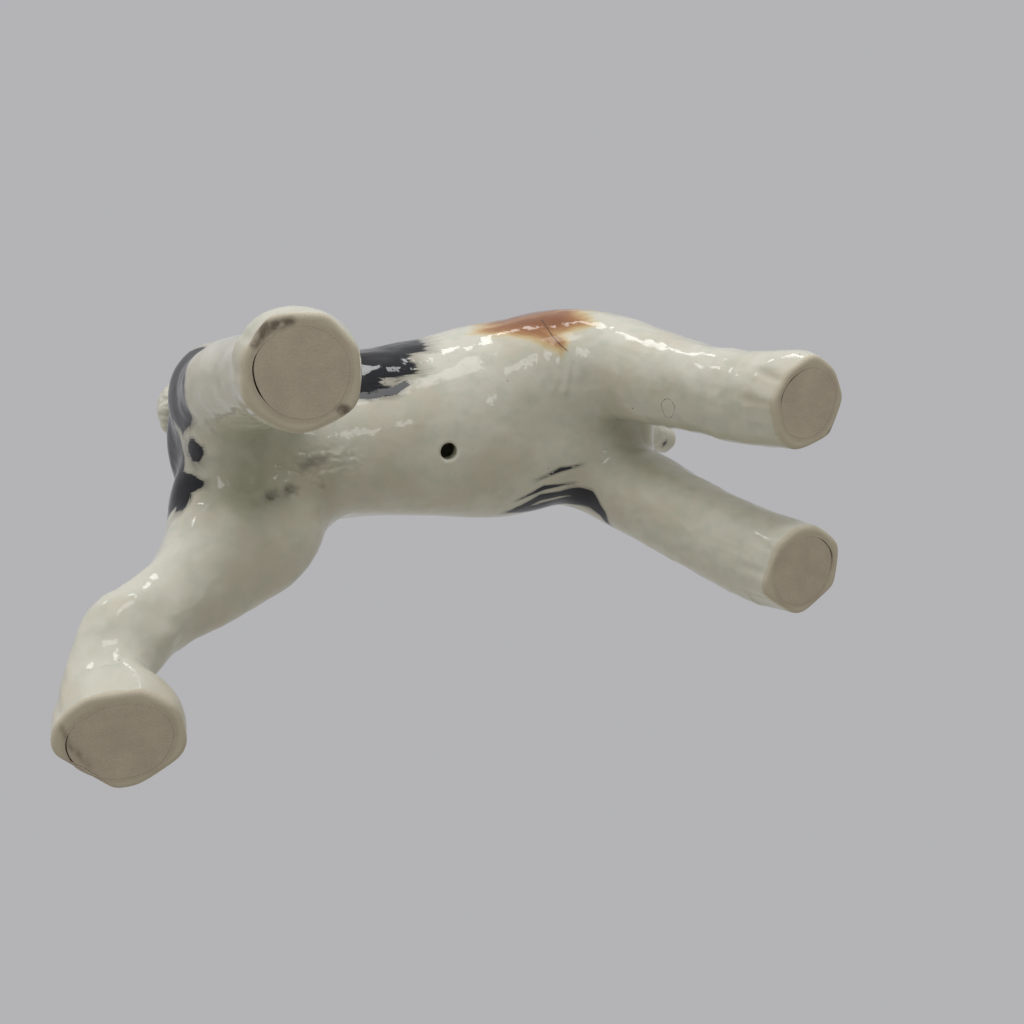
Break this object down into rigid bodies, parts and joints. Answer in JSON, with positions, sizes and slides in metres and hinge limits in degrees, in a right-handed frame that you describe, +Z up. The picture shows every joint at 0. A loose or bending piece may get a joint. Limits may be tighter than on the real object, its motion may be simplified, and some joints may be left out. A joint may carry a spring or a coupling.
{
  "type": "dog figurine",
  "caption": "Glazed slip-cast terrier figurine, hollow, standing with one foreleg stepping out, on flat unglazed feet.",
  "frame": {"origin": "middle of the footprint of the whole dog, on the surface that its feet stand on", "axes": "+Z up, -Y the way the dog faces, +X its left side"},
  "size_m": [0.0778, 0.164, 0.1368],
  "materials": {
    "glaze": "glossy clear glaze over white clay, with painted black and tan patches",
    "ear_glaze": "glossy clear glaze over black paint",
    "bisque": "unglazed fired clay, matt and slightly stained"
  },
  "bodies": {
    "root": {"body_shell": "glaze", "head_shell": "glaze", "tail": "glaze", "ear_left": "ear_glaze", "ear_right": "ear_glaze", "leg_front_left": "glaze", "leg_front_right": "glaze", "leg_hind_left": "glaze", "leg_hind_right": "glaze", "foot_plug_front_left": "bisque", "foot_plug_front_right": "bisque", "foot_plug_hind_left": "bisque", "foot_plug_hind_right": "bisque"}
  },
  "joints": []
}
